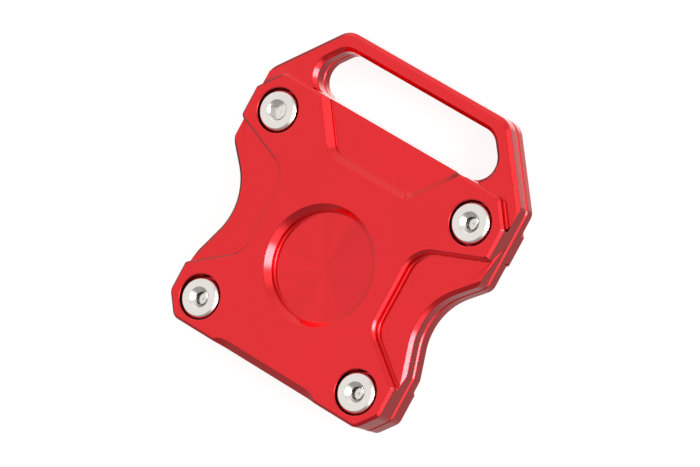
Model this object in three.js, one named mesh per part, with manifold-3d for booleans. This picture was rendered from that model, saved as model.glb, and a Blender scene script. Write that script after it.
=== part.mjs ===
// Foot plate for a motorcycle's side stand: a ground plate and a stand plate of one
// outline are screwed together round the stand's own foot, so that it stands on a wider
// sole. Millimetres. X runs across, Y from the front edge to the handle, and +Z comes out
// of the ground face. The part lies on its stand face, and its origin is the middle of
// the box's underside.

import * as THREE from "three";
import { mergeVertices } from "three/addons/utils/BufferGeometryUtils.js";
import Module from "manifold-3d";

// Overall sizes.
const length = 80; // front edge to handle edge
const handleWidth = 76;
const frontWidth = 65;
const groundThickness = 7;
const standThickness = 5.5;

// Outline: the two sides run in to a waist, and the handle's corners are cut off.
const waistVertexWidth = 54.2; // where the two slopes of a side would meet
const waistVertexAhead = 3.6; // of the round pocket's centre, towards the handle
const waistRadius = 15.2;
const handleCutAcross = 13.7;
const handleCutBack = 16.7;
const handleSideRadius = 3;
const handleEdgeRadius = 5;
const shoulderBelowScrew = 11.8; // rear screws to the corner above the waist
const shoulderRadius = 3;
const hipAboveScrew = 9; // front screws to the corner below the waist
const hipRadius = 3;
const frontCutAcross = 4.2;
const frontCutBack = 5.1;
const frontCutRadius = 2.5;

// Edge breaks.
const landChamfer = 0.7;
const edgeChamfer = 0.9;
const partingChamfer = 0.45;

// Screws: low-head socket screws, M6.
const screwDiameter = 6;
const headDiameter = 10;
const headHeight = 4;
const headBevel = 0.6;
const socketAcrossFlats = 4;
const socketDepth = 2.2;
const socketMouth = 0.4; // how far the socket's countersink stands out past its corners
const tipChamfer = 0.8;
const headBelowFace = 0; // of the ground face
const tipInsideFace = 0.3; // of the stand face
const rearScrewFromHandle = 24.9;
const rearScrewFromSide = 8.4;
const frontScrewFromFront = 7.4;
const frontScrewFromSide = 8.2;
const boreClearance = 0.5; // radial, round the head
const shankClearance = 0.3; // radial, round the shank

// Ground face: a raised land in an X, a round pocket and a relief below the slot.
const groundRelief = 2.5; // land down to the lower face
const pocketFromFront = 28.5;
const pocketRimRadius = 14.75;
const pocketFloorRadius = 13.3;
const pocketDepth = 3;
const spineBesidePocket = 5.4; // land left beside the pocket's rim
const spineUpperAhead = 14.6; // of the pocket's centre
const spineLowerBehind = 6.6;
const spineUpperRadius = 7;
const spineLowerRadius = 6;
const bossBelowRearScrew = 5.6;
const bossAboveRearScrew = 2.4;
const bossAboveFrontScrew = 5.4;
const bossRadius = 2.4;
const bossTopFromSide = 5;
const centreReliefHeight = 10.3;
const centreReliefBottomWidth = 22.4;
const centreReliefTopWidth = 39;
const centreReliefChamfer = 1.6;
const centreReliefRadius = 3.4;
const frontBevel = 1.9;
const frontBevelWidth = 38.6;
const frontBevelRadius = 7.5;

// Slot through both plates, which makes the rear edge a handle.
const handleBar = 4.2;
const slotHeight = 12.1;
const slotRadius = 5;
const slotChamfer = 1;

// Stand face: lower beside the waist, and lower still at the handle.
const standSideRelief = 1;
const standHandleRelief = 1.7;
const standStepBelowScrew = 1.6; // rear screws to the step between the two, under the bosses
const standEdgeChamfer = 0.8;

// Room for the stand's foot between the plates, and the window that its leg comes through.
const footSideWall = 5.1; // where the slopes of a side would meet, to the pocket
const footFrontWall = 8.5;
const footRearWall = 12;
const footCorner = 8;
const footInGroundPlate = 1.5;
const standLip = 2; // thickness left round the window
const lipWidth = 5.5;
const windowCorner = 5;
const windowChamfer = 0.8;

// Places that follow from the sizes above.
const front = -length / 2;
const rear = length / 2;
const pocketY = front + pocketFromFront;
const rearScrew = new THREE.Vector2(handleWidth / 2 - rearScrewFromSide, rear - rearScrewFromHandle);
const frontScrew = new THREE.Vector2(frontWidth / 2 - frontScrewFromSide, front + frontScrewFromFront);
const slotTop = rear - handleBar;
const slotBottom = slotTop - slotHeight;
const partingZ = standThickness;
const groundZ = standThickness + groundThickness;
const lowerFaceZ = groundZ - groundRelief;
const headSeatZ = groundZ - headBelowFace - headHeight;
const screwLength = headSeatZ - tipInsideFace;

const arcStep = THREE.MathUtils.degToRad(9);
const roundSegments = 56;
const socketSides = 6;
const spare = 4; // how far a cutter runs past what it cuts
const weldTolerance = 1e-5;

const wasm = await Module();
wasm.setup();

const anodised = new THREE.MeshStandardMaterial({ color: 0xd8202c, roughness: 0.32, metalness: 0.85 });
const stainless = new THREE.MeshStandardMaterial({ color: 0xd6d3cd, roughness: 0.28, metalness: 1 });

// A closed geometry as a solid that can be cut and joined.
function solid(geometry) {
  const bare = geometry.index ? geometry.toNonIndexed() : geometry.clone();
  bare.deleteAttribute("normal");
  bare.deleteAttribute("uv");
  const merged = mergeVertices(bare, weldTolerance);
  return new wasm.Manifold(new wasm.Mesh({
    numProp: 3,
    vertProperties: new Float32Array(merged.attributes.position.array),
    triVerts: new Uint32Array(merged.index.array),
  }));
}

// A finished solid as a named mesh.
function toMesh(name, body, material) {
  const { vertProperties, triVerts } = body.getMesh();
  const geometry = new THREE.BufferGeometry();
  geometry.setAttribute("position", new THREE.BufferAttribute(new Float32Array(vertProperties), 3));
  geometry.setIndex(new THREE.BufferAttribute(new Uint32Array(triVerts), 1));
  geometry.computeVertexNormals();
  const mesh = new THREE.Mesh(geometry, material);
  mesh.name = name;
  return mesh;
}

// A polygon whose corners [x, y, radius] are rounded with arcs.
function roundedShape(corners) {
  const points = [];
  corners.forEach(([x, y, radius], i) => {
    const corner = new THREE.Vector2(x, y);
    const before = new THREE.Vector2(...corners.at(i - 1)).sub(corner).normalize();
    const after = new THREE.Vector2(...corners[(i + 1) % corners.length]).sub(corner).normalize();
    const half = Math.acos(THREE.MathUtils.clamp(before.dot(after), -1, 1)) / 2;
    const centre = before.clone().add(after).normalize().multiplyScalar(radius / Math.sin(half)).add(corner);
    const start = before.clone().multiplyScalar(radius / Math.tan(half)).add(corner).sub(centre);
    const turn = Math.PI - 2 * half;
    const side = -Math.sign(start.cross(before));
    const steps = radius > 0 ? Math.max(1, Math.ceil(turn / arcStep)) : 0;
    for (let k = 0; k <= steps; k += 1) {
      const step = steps > 0 ? (side * turn * k) / steps : 0;
      points.push(start.clone().rotateAround(new THREE.Vector2(), step).add(centre));
    }
  });
  return new THREE.Shape(points);
}

// The right half's corners, front to rear, with their mirror image.
function mirrored(right) {
  const left = right.map(([x, y, radius]) => [-x, y, radius]).reverse();
  return [...right, ...left];
}

// A prism between two heights, with the same chamfer round both ends.
function prism(shape, low, high, chamfer = 0) {
  const geometry = new THREE.ExtrudeGeometry(shape, {
    depth: high - low - 2 * chamfer,
    bevelEnabled: chamfer > 0,
    bevelThickness: chamfer,
    bevelSize: chamfer,
    bevelOffset: -chamfer,
    bevelSegments: 1,
  });
  return solid(geometry.translate(0, 0, low + chamfer));
}

// A prism with one chamfer round its lower end and another round its upper end.
function plateBody(shape, low, high, lowChamfer, highChamfer) {
  const lower = prism(shape, low, high + spare, lowChamfer);
  return lower.intersect(prism(shape, low - spare, high, highChamfer));
}

// A cutter for an opening between two heights. It widens by a chamfer up to the face at
// `face`, which is above or below the rest.
function openingCutter(shape, floor, face, chamfer) {
  const outward = Math.sign(face - floor);
  const end = face + outward * spare;
  const body = prism(shape, Math.min(floor, end), Math.max(floor, end));
  const geometry = new THREE.ExtrudeGeometry(shape, {
    depth: spare,
    bevelThickness: chamfer,
    bevelSize: chamfer,
    bevelSegments: 1,
  });
  const bottom = outward > 0 ? face - chamfer : face + chamfer - spare - 2 * chamfer;
  return body.add(solid(geometry.translate(0, 0, bottom + chamfer)));
}

// A solid turned about an upright axis at (x, y), from its profile of [radius, height].
function turned(profile, x = 0, y = 0, segments = roundSegments) {
  const points = profile.map(([radius, height]) => new THREE.Vector2(radius, height));
  const geometry = new THREE.LatheGeometry(points, segments);
  return solid(geometry.rotateX(Math.PI / 2).translate(x, y, 0));
}

const hip = [frontWidth / 2, frontScrew.y + hipAboveScrew, hipRadius];
const waist = [waistVertexWidth / 2, pocketY + waistVertexAhead, waistRadius];
const shoulder = [handleWidth / 2, rearScrew.y - shoulderBelowScrew, shoulderRadius];
const handleSide = [handleWidth / 2, rear - handleCutBack, handleSideRadius];
const handleEdge = [handleWidth / 2 - handleCutAcross, rear, handleEdgeRadius];

function outline() {
  return roundedShape(mirrored([
    [frontWidth / 2 - frontCutAcross, front, frontCutRadius],
    [frontWidth / 2, front + frontCutBack, frontCutRadius],
    hip,
    waist,
    shoulder,
    handleSide,
    handleEdge,
  ]));
}

// What the lower face's chamfer follows. It keeps to the waist and the handle and runs
// straight on past the bosses, so the chamfer runs out there.
function chamferOutline() {
  const [hipAt, waistAt, shoulderAt, sideAt, edgeAt] = [hip, waist, shoulder, handleSide, handleEdge]
    .map(([x, y]) => new THREE.Vector2(x, y));
  const ahead = waistAt.clone().lerp(hipAt, (waistAt.y - front + spare) / (waistAt.y - hipAt.y));
  const alongHandle = sideAt.clone().sub(edgeAt);
  const reach = edgeAt.clone().sub(waistAt).cross(alongHandle)
    / shoulderAt.clone().sub(waistAt).cross(alongHandle);
  const meeting = waistAt.clone().lerp(shoulderAt, reach);
  return roundedShape(mirrored([[ahead.x, ahead.y, 0], waist, [meeting.x, meeting.y, 0], handleEdge]));
}

// The raised X on a face: four bosses round the screws, joined by a spine.
function landOutline() {
  const spine = pocketRimRadius + spineBesidePocket;
  return roundedShape(mirrored([
    [frontWidth / 2 - frontCutAcross, front, frontCutRadius],
    [frontWidth / 2, front + frontCutBack, frontCutRadius],
    [frontWidth / 2, frontScrew.y + bossAboveFrontScrew, bossRadius],
    [spine, pocketY - spineLowerBehind, spineLowerRadius],
    [spine, pocketY + spineUpperAhead, spineUpperRadius],
    [handleWidth / 2, rearScrew.y - bossBelowRearScrew, bossRadius],
    [handleWidth / 2, rearScrew.y + bossAboveRearScrew, bossRadius],
    [handleWidth / 2 - bossTopFromSide, slotBottom, bossRadius],
  ]));
}

// The slot keeps one bar width from the rear edge and from the handle's cut corners.
function slotShape() {
  const cut = new THREE.Vector2(handleCutAcross, handleCutBack);
  const inset = (handleBar * cut.length()) / cut.y;
  const halfWidthAt = (y) => handleWidth / 2 - ((y - rear + cut.y) * cut.x) / cut.y - inset;
  return roundedShape(mirrored([
    [halfWidthAt(slotBottom), slotBottom, slotRadius],
    [halfWidthAt(slotTop), slotTop, slotRadius],
  ]));
}

function centreReliefShape() {
  const bottom = slotBottom - centreReliefHeight;
  const slope = (centreReliefTopWidth - centreReliefBottomWidth) / 2 / centreReliefHeight;
  const above = spare / 2;
  return roundedShape(mirrored([
    [centreReliefBottomWidth / 2, bottom, centreReliefRadius],
    [centreReliefTopWidth / 2 + above * slope, slotBottom + above, 0],
  ]));
}

// A long bevel in the middle of the front edge, which runs out in round ends.
function frontBevelCutter() {
  const behind = front - frontBevelRadius * 2;
  const shape = roundedShape(mirrored([
    [frontBevelWidth / 2 - frontBevel, behind, 0],
    [frontBevelWidth / 2 - frontBevel, front, frontBevelRadius - frontBevel],
  ]));
  return openingCutter(shape, groundZ - frontBevel, groundZ, frontBevel);
}

function footShape(inset, corner) {
  const halfWidth = waistVertexWidth / 2 - footSideWall - inset;
  return roundedShape(mirrored([
    [halfWidth, front + footFrontWall + inset, corner],
    [halfWidth, slotBottom - footRearWall - inset, corner],
  ]));
}

function screwPlaces() {
  return {
    front_left: [-frontScrew.x, frontScrew.y],
    front_right: [frontScrew.x, frontScrew.y],
    rear_left: [-rearScrew.x, rearScrew.y],
    rear_right: [rearScrew.x, rearScrew.y],
  };
}

function groundPlate() {
  let body = plateBody(outline(), partingZ, lowerFaceZ, partingChamfer, 0)
    .intersect(plateBody(chamferOutline(), 0, lowerFaceZ, 0, edgeChamfer))
    .subtract(openingCutter(slotShape(), partingZ - spare, lowerFaceZ, slotChamfer))
    .add(plateBody(landOutline(), partingZ + partingChamfer, groundZ, edgeChamfer, landChamfer))
    .subtract(openingCutter(centreReliefShape(), lowerFaceZ, groundZ, centreReliefChamfer))
    .subtract(frontBevelCutter())
    .subtract(turned([
      [0, groundZ - pocketDepth],
      [pocketFloorRadius, groundZ - pocketDepth],
      [pocketFloorRadius, groundZ - pocketRimRadius + pocketFloorRadius],
      [pocketRimRadius + spare, groundZ + spare],
      [0, groundZ + spare],
    ], 0, pocketY))
    .subtract(prism(footShape(0, footCorner), partingZ - spare, partingZ + footInGroundPlate));
  const boreRadius = headDiameter / 2 + boreClearance;
  const holeRadius = screwDiameter / 2 + shankClearance;
  for (const [x, y] of Object.values(screwPlaces())) {
    body = body.subtract(turned([
      [0, partingZ - spare],
      [holeRadius, partingZ - spare],
      [holeRadius, headSeatZ],
      [boreRadius, headSeatZ],
      [boreRadius, groundZ + spare],
      [0, groundZ + spare],
    ], x, y));
  }
  return toMesh("ground_plate", body, anodised);
}

function standPlate() {
  const handleZone = roundedShape(mirrored([
    [handleWidth, rearScrew.y - standStepBelowScrew, 0],
    [handleWidth, rear + spare, 0],
  ]));
  const handle = plateBody(outline(), standHandleRelief, partingZ, standEdgeChamfer, partingChamfer)
    .intersect(prism(handleZone, 0, partingZ));
  let body = plateBody(outline(), standSideRelief, partingZ, standEdgeChamfer, partingChamfer)
    .subtract(prism(handleZone, -spare, partingZ + spare))
    .add(handle)
    .subtract(openingCutter(slotShape(), partingZ + spare, standHandleRelief, slotChamfer))
    .add(plateBody(landOutline(), 0, partingZ - partingChamfer, landChamfer, edgeChamfer))
    .subtract(prism(footShape(0, footCorner), standLip, partingZ + spare))
    .subtract(openingCutter(footShape(lipWidth, windowCorner), partingZ, 0, windowChamfer));
  const holeRadius = screwDiameter / 2 + shankClearance;
  for (const [x, y] of Object.values(screwPlaces())) {
    body = body.subtract(turned([
      [0, -spare],
      [holeRadius + tipChamfer / 2 + spare, -spare],
      [holeRadius, tipChamfer / 2],
      [holeRadius, partingZ + spare],
      [0, partingZ + spare],
    ], x, y));
  }
  return toMesh("stand_plate", body, anodised);
}

// A low-head socket screw, its head's underside at the origin.
function screwBody() {
  const headRadius = headDiameter / 2;
  const radius = screwDiameter / 2;
  const blank = turned([
    [0, -screwLength],
    [radius - tipChamfer, -screwLength],
    [radius, tipChamfer - screwLength],
    [radius, 0],
    [headRadius, 0],
    [headRadius, headHeight - headBevel],
    [headRadius - headBevel, headHeight],
    [0, headHeight],
  ]);
  const cornerRadius = socketAcrossFlats / Math.sqrt(3);
  const mouthRadius = cornerRadius + socketMouth;
  const socket = turned([
    [0, headHeight - socketDepth],
    [cornerRadius, headHeight - socketDepth],
    [cornerRadius, headHeight + spare],
    [0, headHeight + spare],
  ], 0, 0, socketSides);
  const mouth = turned([
    [0, headHeight - mouthRadius],
    [mouthRadius + spare, headHeight + spare],
    [0, headHeight + spare],
  ]);
  return blank.subtract(socket).subtract(mouth);
}

const assembly = new THREE.Group();
assembly.add(groundPlate(), standPlate());

const screws = new THREE.Group();
screws.position.z = headSeatZ;
for (const [place, [x, y]] of Object.entries(screwPlaces())) {
  const screw = toMesh(`screw_${place}`, screwBody(), stainless);
  screw.position.set(x, y, 0);
  screws.add(screw);
}
assembly.add(screws);

export default assembly;
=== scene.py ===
"""A side stand's clamp-on foot plate: a ground plate and a stand plate of red anodised
aluminium, held together by four stainless socket screws. Metres, +Z out of the ground face."""

from math import ceil, cos, pi, radians, sin, sqrt, tan

import bmesh
import bpy
from mathutils import Matrix, Vector


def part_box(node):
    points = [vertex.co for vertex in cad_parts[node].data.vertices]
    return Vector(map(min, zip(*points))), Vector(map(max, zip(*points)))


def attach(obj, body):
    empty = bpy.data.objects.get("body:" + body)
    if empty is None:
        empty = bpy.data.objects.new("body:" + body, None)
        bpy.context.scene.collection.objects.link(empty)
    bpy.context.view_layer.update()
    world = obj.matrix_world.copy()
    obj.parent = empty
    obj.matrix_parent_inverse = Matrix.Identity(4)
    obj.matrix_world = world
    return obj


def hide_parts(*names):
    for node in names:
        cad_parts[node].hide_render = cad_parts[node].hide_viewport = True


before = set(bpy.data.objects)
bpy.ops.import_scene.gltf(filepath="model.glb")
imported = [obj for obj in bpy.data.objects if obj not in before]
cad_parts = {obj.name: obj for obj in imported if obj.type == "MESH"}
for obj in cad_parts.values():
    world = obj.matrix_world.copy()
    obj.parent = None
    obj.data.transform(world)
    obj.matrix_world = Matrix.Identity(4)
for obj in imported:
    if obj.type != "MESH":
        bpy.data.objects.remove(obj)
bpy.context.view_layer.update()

# ---------------------------------------------------------------------------------------
# Camera. A long lens looks down on the ground face from the right, with the slotted
# handle at the upper right.
# ---------------------------------------------------------------------------------------
camera_right = Vector((0.76062674, 0.47356094, -0.44405743))
camera_up = Vector((-0.4531918, 0.87709966, 0.15910181))
camera_back = Vector((0.46482703, 0.08022609, 0.88175938))
camera_place = Vector((0.59602, 0.10100, 1.13706))

camera_data = bpy.data.cameras.new("camera")
camera_data.sensor_width = 36
camera_data.lens = 279.69
camera_data.clip_start = 0.05
camera_data.clip_end = 20
camera = bpy.data.objects.new("camera", camera_data)
bpy.context.collection.objects.link(camera)
axes = Matrix((camera_right, camera_up, camera_back)).transposed()
camera.matrix_world = Matrix.Translation(camera_place) @ axes.to_4x4()
bpy.context.scene.camera = camera

# ---------------------------------------------------------------------------------------
# Studio. A pale paper floor, and a room lit by soft boxes: a broad one up on the left, a
# small bright one low on the right, and dimmer ones behind and below.
# ---------------------------------------------------------------------------------------
bpy.context.scene.view_settings.view_transform = "Standard"

floor_half = 1.5
floor_mesh = bmesh.new()
bmesh.ops.create_grid(floor_mesh, x_segments=1, y_segments=1, size=floor_half)
bmesh.ops.translate(floor_mesh, verts=floor_mesh.verts[:], vec=(0, 0, -0.00005))
floor_data = bpy.data.meshes.new("floor")
floor_mesh.to_mesh(floor_data)
floor_mesh.free()
floor = bpy.data.objects.new("floor", floor_data)
bpy.context.collection.objects.link(floor)
floor.visible_glossy = False

paper = bpy.data.materials.new("paper")
paper.use_nodes = True
nodes = paper.node_tree.nodes
links = paper.node_tree.links
shader = nodes["Principled BSDF"]
shader.inputs["Roughness"].default_value = 0.9
shader.inputs["Specular IOR Level"].default_value = 0.1
shader.inputs["Emission Color"].default_value = (1, 1, 1, 1)
shader.inputs["Emission Strength"].default_value = 0.84
coordinates = nodes.new("ShaderNodeTexCoord")
fibre = nodes.new("ShaderNodeTexNoise")
fibre.inputs["Scale"].default_value = 30
tone = nodes.new("ShaderNodeValToRGB")
tone.color_ramp.elements[0].color = (0.22, 0.22, 0.22, 1)
tone.color_ramp.elements[1].color = (0.26, 0.26, 0.26, 1)
links.new(coordinates.outputs["Object"], fibre.inputs["Vector"])
links.new(fibre.outputs["Fac"], tone.inputs["Fac"])
links.new(tone.outputs["Color"], shader.inputs["Base Color"])
side_seen = nodes.new("ShaderNodeNewGeometry")
clear = nodes.new("ShaderNodeBsdfTransparent")
clear_from_below = nodes.new("ShaderNodeMixShader")
links.new(side_seen.outputs["Backfacing"], clear_from_below.inputs["Fac"])
links.new(shader.outputs["BSDF"], clear_from_below.inputs[1])
links.new(clear.outputs["BSDF"], clear_from_below.inputs[2])
links.new(clear_from_below.outputs["Shader"], nodes["Material Output"].inputs["Surface"])
floor_data.materials.append(paper)

world = bpy.data.worlds.new("studio")
world.use_nodes = True
bpy.context.scene.world = world
nodes = world.node_tree.nodes
links = world.node_tree.links
background = nodes["Background"]
coordinates = nodes.new("ShaderNodeTexCoord")
room_level = 0.38
softboxes = (
    # towards, added brightness, full out to, gone by (degrees)
    ((-0.70, 0.00, 0.70), 0.60, 18, 70),
    ((0.90, 0.30, 0.30), 1.30, 20, 55),
    ((0.82, 0.32, 0.47), 14.0, 6, 19),
    ((-0.30, 0.90, 0.00), 0.60, 20, 60),
    ((-0.45, 0.25, -0.86), 0.95, 15, 45),
    ((-0.95, 0.00, -0.30), -0.30, 15, 45),
)
light = None
for towards, brightness, full, gone in softboxes:
    facing = nodes.new("ShaderNodeVectorMath")
    facing.operation = "DOT_PRODUCT"
    facing.inputs[1].default_value = Vector(towards).normalized()
    links.new(coordinates.outputs["Generated"], facing.inputs[0])
    falloff = nodes.new("ShaderNodeMapRange")
    falloff.interpolation_type = "SMOOTHSTEP"
    falloff.inputs["From Min"].default_value = cos(radians(gone))
    falloff.inputs["From Max"].default_value = cos(radians(full))
    falloff.inputs["To Max"].default_value = brightness
    links.new(facing.outputs["Value"], falloff.inputs["Value"])
    total = nodes.new("ShaderNodeMath")
    total.operation = "ADD"
    total.inputs[1].default_value = room_level
    links.new(falloff.outputs["Result"], total.inputs[0])
    if light is not None:
        links.new(light, total.inputs[1])
    light = total.outputs["Value"]
links.new(light, background.inputs["Strength"])
background.inputs["Color"].default_value = (1, 0.985, 0.965, 1)

paper_white = nodes.new("ShaderNodeBackground")
seen_straight = nodes.new("ShaderNodeLightPath")
backdrop = nodes.new("ShaderNodeMixShader")
links.new(seen_straight.outputs["Is Camera Ray"], backdrop.inputs["Fac"])
links.new(background.outputs["Background"], backdrop.inputs[1])
links.new(paper_white.outputs["Background"], backdrop.inputs[2])
links.new(backdrop.outputs["Shader"], nodes["World Output"].inputs["Surface"])
paper_white.inputs["Color"].default_value = (1, 1, 1, 1)

# ---------------------------------------------------------------------------------------
# Ground plate. Milled from aluminium plate and anodised red: a raised land in an X with a
# screw boss at each end, a round pocket, a relief below the slot and a bevelled front.
# ---------------------------------------------------------------------------------------
MM = 0.001
arc_step, shortest_chord = radians(4), 0.5


def rounded_face(mesh, corners, height):
    """One flat face through corners (x, y, radius), each corner turned to its radius."""
    points = [Vector((x, y, height)) for x, y, radius in corners]
    edges, ends = [], []
    for index, corner in enumerate(points):
        radius = corners[index][2]
        before = (points[index - 1] - corner).normalized()
        after = (points[(index + 1) % len(points)] - corner).normalized()
        half = before.angle(after) / 2
        first = last = mesh.verts.new(corner + before * (radius / tan(half)))
        if radius:
            centre = corner + (before + after).normalized() * (radius / sin(half))
            turn = (pi - 2 * half) * (1 if before.cross(after).z < 0 else -1)
            steps = max(2, ceil(abs(turn) / max(arc_step, shortest_chord / radius)))
            arc = bmesh.ops.spin(
                mesh, geom=[first], cent=centre, axis=(0, 0, 1), angle=turn, steps=steps
            )
            last = next(v for v in arc["geom_last"] if isinstance(v, bmesh.types.BMVert))
        ends.append((first, last))
    for index, (first, last) in enumerate(ends):
        mesh.edges.new((ends[index - 1][1], first))
    filled = bmesh.ops.contextual_create(mesh, geom=mesh.edges[:])
    return filled["faces"][0]


def milled_block(corners, low, high, low_rim=0.0, high_rim=0.0):
    """A block from one height to another. A rim above 0 is a chamfer, and below 0 a flare
    that carries on past the end, for a cutter."""
    mesh = bmesh.new()
    bottom = rounded_face(mesh, corners, low + abs(low_rim))
    extruded = bmesh.ops.extrude_face_region(mesh, geom=[bottom])["geom"]
    top = next(f for f in extruded if isinstance(f, bmesh.types.BMFace))
    rise = high - abs(high_rim) - low - abs(low_rim)
    bmesh.ops.translate(mesh, verts=top.verts[:], vec=(0, 0, rise))
    bmesh.ops.recalc_face_normals(mesh, faces=mesh.faces[:])
    for face, rim in ((bottom, low_rim), (top, high_rim)):
        if rim:
            bmesh.ops.inset_region(
                mesh, faces=[face], thickness=rim, depth=abs(rim), use_even_offset=True
            )
        if rim < 0:
            way = face.normal.z
            past = bmesh.ops.extrude_face_region(mesh, geom=[face])["geom"]
            bmesh.ops.delete(mesh, geom=[face], context="FACES_ONLY")
            moved = [v for v in past if isinstance(v, bmesh.types.BMVert)]
            bmesh.ops.translate(mesh, verts=moved, vec=(0, 0, 3 * way))
    bmesh.ops.recalc_face_normals(mesh, faces=mesh.faces[:])
    return mesh


def grown(corners, by):
    """The same corners with every side moved outwards."""
    moved = []
    for index, (x, y, radius) in enumerate(corners):
        corner = Vector((x, y))
        before = (Vector(corners[index - 1][:2]) - corner).normalized()
        after = (Vector(corners[(index + 1) % len(corners)][:2]) - corner).normalized()
        inner = -1 if before.cross(after) > 0 else 1
        half = before.angle(after) / 2
        corner -= (before + after).normalized() * (inner * by / sin(half))
        moved.append((corner.x, corner.y, radius and radius + inner * by))
    return moved


def turned_block(profile, x, y, steps=96):
    """A solid turned about an upright axis at x, y from its profile of (radius, height)."""
    mesh = bmesh.new()
    verts = [mesh.verts.new((x + radius, y, height)) for radius, height in profile]
    edges = [mesh.edges.new(pair) for pair in zip(verts, verts[1:])]
    bmesh.ops.spin(
        mesh, geom=verts + edges, cent=(x, y, 0), axis=(0, 0, 1), angle=2 * pi,
        steps=steps, use_merge=True,
    )
    bmesh.ops.remove_doubles(mesh, verts=mesh.verts[:], dist=1e-5)
    bmesh.ops.recalc_face_normals(mesh, faces=mesh.faces[:])
    return mesh


def as_object(name, *meshes):
    """The given bmeshes as one object."""
    data = bpy.data.meshes.new(name)
    whole = bmesh.new()
    for mesh in meshes:
        mesh.to_mesh(data)
        mesh.free()
        whole.from_mesh(data)
    whole.to_mesh(data)
    whole.free()
    thing = bpy.data.objects.new(name, data)
    bpy.context.collection.objects.link(thing)
    return thing


def machined(body, tool, operation="DIFFERENCE"):
    """The body after one cut or join with the tool, which is used up."""
    step = body.modifiers.new("step", "BOOLEAN")
    step.operation = operation
    step.solver = "EXACT"
    step.object = tool
    graph = bpy.context.evaluated_depsgraph_get()
    result = bpy.data.meshes.new_from_object(body.evaluated_get(graph))
    body.modifiers.clear()
    body.data = result
    bpy.data.objects.remove(tool)
    return body


def deburred(name, body, fillet=0.35, edge=0.12):
    """The finished piece in metres: its flats merged, a fillet left by the cutter in each
    inner corner, and each outer edge broken to a small round."""
    mesh = bmesh.new()
    mesh.from_mesh(body.data)
    bpy.data.objects.remove(body)
    bmesh.ops.remove_doubles(mesh, verts=mesh.verts[:], dist=0.01)
    flat = radians(0.4)
    bmesh.ops.dissolve_limit(
        mesh, angle_limit=flat, verts=mesh.verts[:], edges=mesh.edges[:]
    )
    seams = (front_screw.y, pocket_y, rear_screw.y, (slot_top + slot_bottom) / 2)
    for seam in seams:
        bmesh.ops.bisect_plane(
            mesh, geom=mesh.verts[:] + mesh.edges[:] + mesh.faces[:], dist=1e-4,
            plane_co=(0, seam, 0), plane_no=(0, 1, 0),
        )
    loose = [
        e for e in mesh.edges
        if not any(all(abs(v.co.y - seam) < 1e-3 for v in e.verts) for seam in seams)
    ]
    bmesh.ops.dissolve_limit(mesh, angle_limit=flat, verts=mesh.verts[:], edges=loose)
    sharp = radians(28)
    for size, segments, side in ((fillet, 3, -1), (edge, 2, 1)):
        edges = [
            e for e in mesh.edges
            if len(e.link_faces) == 2 and e.calc_face_angle_signed() * side > sharp
        ]
        bmesh.ops.bevel(
            mesh, geom=edges, offset=size, offset_type="OFFSET", segments=segments,
            profile=0.5, affect="EDGES", clamp_overlap=False, material=-1,
        )
    bmesh.ops.remove_doubles(mesh, verts=mesh.verts[:], dist=0.025)
    for vert in mesh.verts:
        vert.co.x = max(-half_width, min(half_width, vert.co.x))
    bmesh.ops.scale(mesh, verts=mesh.verts[:], vec=(MM, MM, MM))
    for face in mesh.faces:
        face.smooth = True
    data = bpy.data.meshes.new(name)
    mesh.to_mesh(data)
    mesh.free()
    data.set_sharp_from_angle(angle=radians(50))
    piece = bpy.data.objects.new(name, data)
    bpy.context.collection.objects.link(piece)
    normals = piece.modifiers.new("flat faces", "WEIGHTED_NORMAL")
    normals.keep_sharp = True
    return piece


def both_sides(right):
    """The right half's corners, front to rear, with their mirror image."""
    return right + [(-x, y, radius) for x, y, radius in reversed(right)]


low, high = (Vector(corner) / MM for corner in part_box("ground_plate"))
half_width, front, rear = high.x, low.y, high.y
parting, ground_face = low.z, high.z
stand_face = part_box("stand_plate")[0][2] / MM
front_screw = (Vector(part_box("screw_front_right")[0]) + Vector(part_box("screw_front_right")[1])) / 2 / MM
rear_screw = (Vector(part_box("screw_rear_right")[0]) + Vector(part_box("screw_rear_right")[1])) / 2 / MM
screw_places = [
    (name, x, y)
    for name, x, y in (
        ("front_left", -front_screw.x, front_screw.y),
        ("front_right", front_screw.x, front_screw.y),
        ("rear_left", -rear_screw.x, rear_screw.y),
        ("rear_right", rear_screw.x, rear_screw.y),
    )
]

front_half = 32.5
lower_face = ground_face - 2.5
slot_top = rear - 4.2
slot_bottom = slot_top - 12.1
pocket_y = front + 28.5
plate_corners = both_sides([
    (front_half - 4.2, front, 2.5),
    (front_half, front + 5.1, 2.5),
    (front_half, front_screw.y + 9, 3),
    (27.1, pocket_y + 3.6, 15.2),
    (half_width, rear_screw.y - 11.8, 3),
    (half_width, rear - 16.7, 3),
    (half_width - 13.7, rear, 5),
])
land_corners = both_sides([
    (front_half + 1, front - 1, 0),
    (front_half + 0.3, front_screw.y + 5.18, 2.4),
    (20.15, pocket_y - 6.6, 6),
    (20.15, pocket_y + 14.6, 7),
    (half_width + 0.3, rear_screw.y - 5.49, 2.4),
    (half_width + 0.3, rear_screw.y + 2.03, 2.4),
    (half_width - 5.12, slot_bottom + 0.15, 2.4),
])
slot_corners = both_sides([(32.24, slot_bottom, 5), (22.32, slot_top, 5)])
relief_corners = both_sides([
    (11.2, slot_bottom - 10.3, 3.4),
    (21.11, slot_bottom + 2, 0),
])
bevel_corners = both_sides([(16.4, front - 15, 0), (16.4, front - 1, 4.6)])
foot_corners = both_sides([(22, front + 8.5, 8), (22, slot_bottom - 12, 8)])

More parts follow.
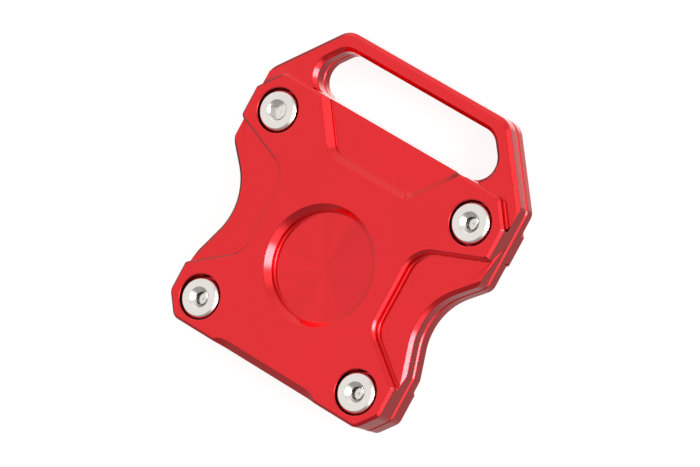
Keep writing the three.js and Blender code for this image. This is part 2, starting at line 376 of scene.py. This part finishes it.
edge_chamfer, parting_chamfer = 0.9, 0.45
hip_line_ahead = (40.06, front - 5.6)
hip_line_meets_handle = (46.9, 12.45)
chamfer_corners = both_sides([
    (*hip_line_ahead, 0),
    (27.1, pocket_y + 3.6, 15.2),
    (*hip_line_meets_handle, 0),
    (half_width - 13.7, rear, 5),
])
land_chamfer, over = 0.7, 0.5
plate = as_object("plate", milled_block(plate_corners, parting - 1, ground_face))
run_out = milled_block(
    grown(chamfer_corners, 1), parting - 3, lower_face, 0, edge_chamfer + 1
)
plate = machined(plate, as_object("run out", run_out), "INTERSECT")
plate = machined(plate, as_object("slot", milled_block(slot_corners, parting, lower_face, -0.25, -1.0)))
land = milled_block(land_corners, lower_face - 1.3, ground_face, 0, land_chamfer)
plate = machined(plate, as_object("land", land), "UNION")
outline = milled_block(
    plate_corners, parting, ground_face + over, parting_chamfer, land_chamfer + over
)
plate = machined(plate, as_object("outline", outline), "INTERSECT")
slot = milled_block(slot_corners, parting - 3, ground_face + 3)
plate = machined(plate, as_object("slot", slot))
bore_radius, hole_radius = 5.5, 3.3
head_seat = ground_face - 4
cutters = [
    milled_block(relief_corners, lower_face, ground_face, 0, -1.6),
    milled_block(bevel_corners, ground_face - 3.9, ground_face, 0, -2.9),
    milled_block(foot_corners, parting - 3, parting + 1.5),
    turned_block([
        (0, ground_face - 3), (13.3, ground_face - 3), (13.3, ground_face - 1.45),
        (16.75, ground_face + 2), (0, ground_face + 2),
    ], 0, pocket_y, 144),
]
for name, x, y in screw_places:
    cutters.append(turned_block([
        (0, parting - 3), (hole_radius, parting - 3), (hole_radius, head_seat),
        (bore_radius, head_seat), (bore_radius, ground_face - 0.2),
        (bore_radius + 2.2, ground_face + 2), (0, ground_face + 2),
    ], x, y, 72))
plate = machined(plate, as_object("cutters", *cutters))
ground_plate = deburred("ground_plate_milled", plate)
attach(ground_plate, "root")
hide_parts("ground_plate")

anodised = bpy.data.materials.new("red anodised")
anodised.use_nodes = True
nodes = anodised.node_tree.nodes
links = anodised.node_tree.links
shader = nodes["Principled BSDF"]
shader.inputs["Metallic"].default_value = 1.0
shader.inputs["Coat Weight"].default_value = 0.85
shader.inputs["Coat Roughness"].default_value = 0.12
coordinates = nodes.new("ShaderNodeTexCoord")
cloud = nodes.new("ShaderNodeTexNoise")
cloud.inputs["Scale"].default_value = 35
cloud.inputs["Detail"].default_value = 3
dye = nodes.new("ShaderNodeValToRGB")
dye.color_ramp.elements[0].color = (0.72, 0.0, 0.006, 1)
dye.color_ramp.elements[1].color = (0.84, 0.002, 0.010, 1)
gloss = nodes.new("ShaderNodeMapRange")
gloss.inputs["To Min"].default_value = 0.20
gloss.inputs["To Max"].default_value = 0.28
grain = nodes.new("ShaderNodeTexNoise")
grain.inputs["Scale"].default_value = 5000
bump = nodes.new("ShaderNodeBump")
bump.inputs["Strength"].default_value = 0.15
bump.inputs["Distance"].default_value = 0.00001
links.new(coordinates.outputs["Object"], cloud.inputs["Vector"])
links.new(coordinates.outputs["Object"], grain.inputs["Vector"])
links.new(cloud.outputs["Fac"], dye.inputs["Fac"])
links.new(dye.outputs["Color"], shader.inputs["Base Color"])
links.new(cloud.outputs["Fac"], gloss.inputs["Value"])
links.new(gloss.outputs["Result"], shader.inputs["Roughness"])
links.new(grain.outputs["Fac"], bump.inputs["Height"])
links.new(bump.outputs["Normal"], shader.inputs["Normal"])
ground_plate.data.materials.append(anodised)

# The pocket floor's own material: fine turned rings as a bump, and its red lightened and darkened by angle
# round the pocket's centre, which is a painted highlight and shade standing in for the reflection off a
# turned floor.
turned = anodised.copy()
turned.name = "red anodised, turned, painted light and shade"
nodes = turned.node_tree.nodes
links = turned.node_tree.links
shader = nodes["Principled BSDF"]
centred = nodes.new("ShaderNodeMapping")
centred.inputs["Location"].default_value = (0, -pocket_y * MM, 0)
around = nodes.new("ShaderNodeTexGradient")
around.gradient_type = "RADIAL"
# Painted highlight and shade: a noise along the angle round the pocket's centre sets how light or dark the
# red is.
painted_sheen_sweep = nodes.new("ShaderNodeTexNoise")
painted_sheen_sweep.noise_dimensions = "1D"
painted_sheen_sweep.inputs["Scale"].default_value = 5
painted_sheen = nodes.new("ShaderNodeValToRGB")
painted_sheen.color_ramp.elements[0].position = 0.3
painted_sheen.color_ramp.elements[0].color = (0.68, 0.0, 0.006, 1)
painted_sheen.color_ramp.elements[1].position = 0.7
painted_sheen.color_ramp.elements[1].color = (0.81, 0.002, 0.010, 1)
rings = nodes.new("ShaderNodeTexWave")
rings.wave_type = "RINGS"
rings.rings_direction = "Z"
rings.inputs["Scale"].default_value = 1600
ring_bump = nodes.new("ShaderNodeBump")
ring_bump.inputs["Strength"].default_value = 0.25
ring_bump.inputs["Distance"].default_value = 0.00001
object_place = nodes["Texture Coordinate"].outputs["Object"]
links.new(object_place, centred.inputs["Vector"])
links.new(centred.outputs["Vector"], around.inputs["Vector"])
links.new(around.outputs["Fac"], painted_sheen_sweep.inputs["W"])
links.new(painted_sheen_sweep.outputs["Fac"], painted_sheen.inputs["Fac"])
links.new(painted_sheen.outputs["Color"], shader.inputs["Base Color"])
links.new(centred.outputs["Vector"], rings.inputs["Vector"])
links.new(rings.outputs["Fac"], ring_bump.inputs["Height"])
links.new(ring_bump.outputs["Normal"], shader.inputs["Normal"])
ground_plate.data.materials.append(turned)
# The pocket floor's faces take the material with the painted highlight and shade.
pocket_floor = ground_face - 3
for face in ground_plate.data.polygons:
    centre = face.center / MM
    from_middle = Vector((centre.x, centre.y - pocket_y)).length
    if abs(centre.z - pocket_floor) < 0.02 and from_middle < 13:
        face.material_index = 1

# ---------------------------------------------------------------------------------------
# Stand plate. Milled to the same outline, anodised with its mate, and tapped for the
# screws. A lip round its window holds the stand's own foot against the ground plate.
# ---------------------------------------------------------------------------------------
handle_level = stand_face + 1.7
side_level = stand_face + 1.0
halves = []
for level, ahead in ((side_level, True), (handle_level, False)):
    half = milled_block(plate_corners, level, parting, 0.8, parting_chamfer)
    cut = bmesh.ops.bisect_plane(
        half, geom=half.verts[:] + half.edges[:] + half.faces[:], dist=1e-4,
        plane_co=(0, rear_screw.y - 1.6, 0), plane_no=(0, 1, 0),
        clear_outer=ahead, clear_inner=not ahead,
    )
    rim = [e for e in cut["geom_cut"] if isinstance(e, bmesh.types.BMEdge)]
    bmesh.ops.contextual_create(half, geom=rim)
    bmesh.ops.recalc_face_normals(half, faces=half.faces[:])
    halves.append(as_object("half", half))
plate = machined(*halves, "UNION")
plate = machined(plate, as_object("slot", milled_block(slot_corners, handle_level, parting, -1.0, -0.25)))
land = milled_block(land_corners, stand_face, handle_level + 1.3, land_chamfer, 0)
plate = machined(plate, as_object("land", land), "UNION")
outline = milled_block(
    plate_corners, stand_face - over, parting, land_chamfer + over, parting_chamfer
)
plate = machined(plate, as_object("outline", outline), "INTERSECT")
window_corners = both_sides([(16.5, front + 14, 5), (16.5, slot_bottom - 17.5, 5)])
cutters = [
    milled_block(slot_corners, stand_face - 3, parting + 3),
    milled_block(foot_corners, stand_face + 2, parting + 3),
]
for name, x, y in screw_places:
    cutters.append(turned_block([
        (0, stand_face - 3), (hole_radius + 3.4, stand_face - 3), (hole_radius, stand_face + 0.4),
        (hole_radius, parting + 3), (0, parting + 3),
    ], x, y, 72))
plate = machined(plate, as_object("cutters", *cutters))
plate = machined(plate, as_object("window", milled_block(window_corners, stand_face, parting, -0.8, 0)))
stand_plate = deburred("stand_plate_milled", plate)
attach(stand_plate, "root")
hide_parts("stand_plate")
stand_plate.data.materials.append(anodised)

# ---------------------------------------------------------------------------------------
# Screws. Four low-head socket screws of bright stainless steel, turned, knurled round the
# head and broached for a hexagon key, which pull the stand plate up to the ground plate.
# ---------------------------------------------------------------------------------------
stainless = bpy.data.materials.new("bright stainless")
stainless.use_nodes = True
nodes = stainless.node_tree.nodes
links = stainless.node_tree.links
shader = nodes["Principled BSDF"]
shader.inputs["Metallic"].default_value = 1.0
coordinates = nodes.new("ShaderNodeTexCoord")
tarnish = nodes.new("ShaderNodeTexNoise")
tarnish.inputs["Scale"].default_value = 260
tarnish.inputs["Detail"].default_value = 4
steel = nodes.new("ShaderNodeValToRGB")
steel.color_ramp.elements[0].color = (0.74, 0.715, 0.69, 1)
steel.color_ramp.elements[1].color = (0.86, 0.84, 0.81, 1)
polish = nodes.new("ShaderNodeMapRange")
polish.inputs["To Min"].default_value = 0.17
polish.inputs["To Max"].default_value = 0.30
drawn = nodes.new("ShaderNodeMapping")
drawn.inputs["Scale"].default_value = (1, 1, 9)
scratches = nodes.new("ShaderNodeTexNoise")
scratches.inputs["Scale"].default_value = 2400
bump = nodes.new("ShaderNodeBump")
bump.inputs["Strength"].default_value = 0.3
bump.inputs["Distance"].default_value = 0.00001
links.new(coordinates.outputs["Object"], tarnish.inputs["Vector"])
links.new(coordinates.outputs["Object"], drawn.inputs["Vector"])
links.new(drawn.outputs["Vector"], scratches.inputs["Vector"])
links.new(tarnish.outputs["Fac"], steel.inputs["Fac"])
links.new(steel.outputs["Color"], shader.inputs["Base Color"])
links.new(tarnish.outputs["Fac"], polish.inputs["Value"])
links.new(polish.outputs["Result"], shader.inputs["Roughness"])
links.new(scratches.outputs["Fac"], bump.inputs["Height"])
links.new(bump.outputs["Normal"], shader.inputs["Normal"])

off_middle = {
    "front_left": (-0.08, -0.22),
    "front_right": (-0.12, -0.14),
    "rear_left": (-0.22, -0.10),
    "rear_right": (-0.24, 0.0),
}
knurl_ribs = 60
thread_pitch = 1.0
head_radius, head_bevel, socket_depth = 5.0, 0.6, 2.2


def knurled_head(x, y, seat, top):
    """The head's blank: a disc with ribs round its side and a bevelled rim."""
    mesh = bmesh.new()
    middle = Matrix.Translation((x, y, seat))
    ring = bmesh.ops.create_circle(
        mesh, cap_ends=True, radius=head_radius, segments=2 * knurl_ribs, matrix=middle
    )["verts"]
    bottom = mesh.faces[:][0]
    top_face = bottom
    for rise, radius in ((top - head_bevel - seat, head_radius), (head_bevel, head_radius - head_bevel)):
        geom = bmesh.ops.extrude_face_region(mesh, geom=[top_face], use_keep_orig=top_face is bottom)
        top_face = next(f for f in geom["geom"] if isinstance(f, bmesh.types.BMFace))
        bmesh.ops.translate(mesh, verts=top_face.verts[:], vec=(0, 0, rise))
        shrink = radius / head_radius
        bmesh.ops.scale(
            mesh, verts=top_face.verts[:], vec=(shrink, shrink, 1),
            space=Matrix.Translation((-x, -y, 0)),
        )
    rib_depth = 0.13
    grooves = [
        v for v in mesh.verts
        if v.co.z < top - head_bevel / 2
        and round(knurl_ribs / pi * (Vector((v.co.x - x, v.co.y - y)).angle_signed(Vector((1, 0))))) % 2
    ]
    shrink = 1 - rib_depth / head_radius
    bmesh.ops.scale(
        mesh, verts=grooves, vec=(shrink, shrink, 1), space=Matrix.Translation((-x, -y, 0))
    )
    bmesh.ops.recalc_face_normals(mesh, faces=mesh.faces[:])
    return mesh


for name, hole_x, hole_y in screw_places:
    node = "screw_" + name
    x, y = hole_x + off_middle[name][0], hole_y + off_middle[name][1]
    bottom, top = (Vector(corner).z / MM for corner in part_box(node))
    shank = [(0, bottom), (2.2, bottom), (2.9, bottom + 0.75)]
    crest = bottom + 1.0
    while crest < head_seat - thread_pitch:
        shank += [(3.0, crest), (3.0, crest + 0.12), (2.45, crest + 0.5), (2.45, crest + 0.62)]
        crest += thread_pitch
    shank += [(2.9, head_seat - 0.6), (2.9, head_seat + 0.3), (0, head_seat + 0.3)]
    screw = as_object("screw", knurled_head(x, y, head_seat, top))
    screw = machined(screw, as_object("shank", turned_block(shank, x, y, 48)), "UNION")
    corner_radius = 4 / sqrt(3)
    mouth_radius = corner_radius + 0.3
    socket = turned_block([
        (0, top - socket_depth), (corner_radius, top - socket_depth),
        (corner_radius, top + 1), (0, top + 1),
    ], x, y, 6)
    screw = machined(screw, as_object("socket", socket))
    mouth = turned_block([
        (0, top - mouth_radius), (mouth_radius + 1, top + 1), (0, top + 1),
    ], x, y, 72)
    screw = machined(screw, as_object("mouth", mouth))
    drill = turned_block([
        (0, top - socket_depth - 0.15), (1.5, top - socket_depth), (1.5, top - 1), (0, top - 1),
    ], x, y, 48)
    screw = machined(screw, as_object("drill", drill))

    mesh = bmesh.new()
    mesh.from_mesh(screw.data)
    bpy.data.objects.remove(screw)
    bmesh.ops.remove_doubles(mesh, verts=mesh.verts[:], dist=1e-3)
    bmesh.ops.dissolve_limit(
        mesh, angle_limit=radians(0.3), verts=mesh.verts[:], edges=mesh.edges[:]
    )
    rims = [
        e for e in mesh.edges
        if len(e.link_faces) == 2 and e.calc_face_angle_signed() > radians(28)
        and all(v.co.z > top - 0.01 for v in e.verts)
    ]
    bmesh.ops.bevel(
        mesh, geom=rims, offset=0.07, offset_type="OFFSET", segments=2, profile=0.5,
        affect="EDGES", clamp_overlap=False, material=-1,
    )
    bmesh.ops.scale(mesh, verts=mesh.verts[:], vec=(MM, MM, MM))
    for face in mesh.faces:
        face.smooth = True
    data = bpy.data.meshes.new(node + "_turned")
    mesh.to_mesh(data)
    mesh.free()
    data.set_sharp_from_angle(angle=radians(35))
    screw = bpy.data.objects.new(node + "_turned", data)
    bpy.context.collection.objects.link(screw)
    normals = screw.modifiers.new("flat faces", "WEIGHTED_NORMAL")
    normals.keep_sharp = True
    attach(screw, "root")
    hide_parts(node)
    screw.data.materials.append(stainless)
